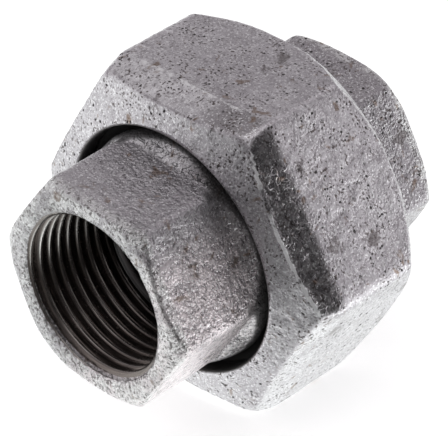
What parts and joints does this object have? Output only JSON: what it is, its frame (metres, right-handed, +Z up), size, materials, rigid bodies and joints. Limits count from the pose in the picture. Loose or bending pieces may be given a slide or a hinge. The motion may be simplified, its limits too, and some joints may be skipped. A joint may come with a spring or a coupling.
{
  "type": "pipe union",
  "caption": "Galvanised pipe union: a large hexagon nut draws a collared tail end against a threaded head end over a flat gasket, with female pipe threads at both ends.",
  "frame": {"origin": "on the pipe axis, half way between the two end faces", "axes": "+Y along the pipe axis from the tail end to the head end, +Z up and square to the nut's top flat, +X to the right seen from the tail end"},
  "size_m": [0.0558, 0.052, 0.049],
  "materials": {
    "galvanised_casting": "hot-dip galvanised malleable iron, dull grey with a faint violet cast, grainy cast skin with dark specks; cut threads smooth, dark and oily",
    "galvanised_nut": "hot-dip galvanised malleable iron, dull grey with a faint violet cast, dark specks and bright worn edges",
    "gasket_fibre": "matt black flat sealing ring"
  },
  "bodies": {
    "head": {"head_end": "galvanised_casting"},
    "gasket": {"flat_gasket": "gasket_fibre"},
    "nut": {"union_nut": "galvanised_nut"},
    "tail": {"tail_end": "galvanised_casting"}
  },
  "joints": [
    {"name": "union_draw", "type": "slide", "parent": "head", "child": "gasket", "axis": [0, -1, 0], "range_m": [0, 0.0116]},
    {"name": "nut_turn", "type": "hinge", "parent": "gasket", "child": "nut", "pos_m": [0, 0, 0], "axis": [0, -1, 0], "range_deg": [0, 1800]},
    {"name": "tail_swivel", "type": "hinge", "parent": "gasket", "child": "tail", "pos_m": [0, 0, 0], "axis": [0, -1, 0], "continuous": true}
  ],
  "couplings": [
    {"joint": "union_draw", "follows": "nut_turn", "m_per_rad": 0.00036749}
  ]
}
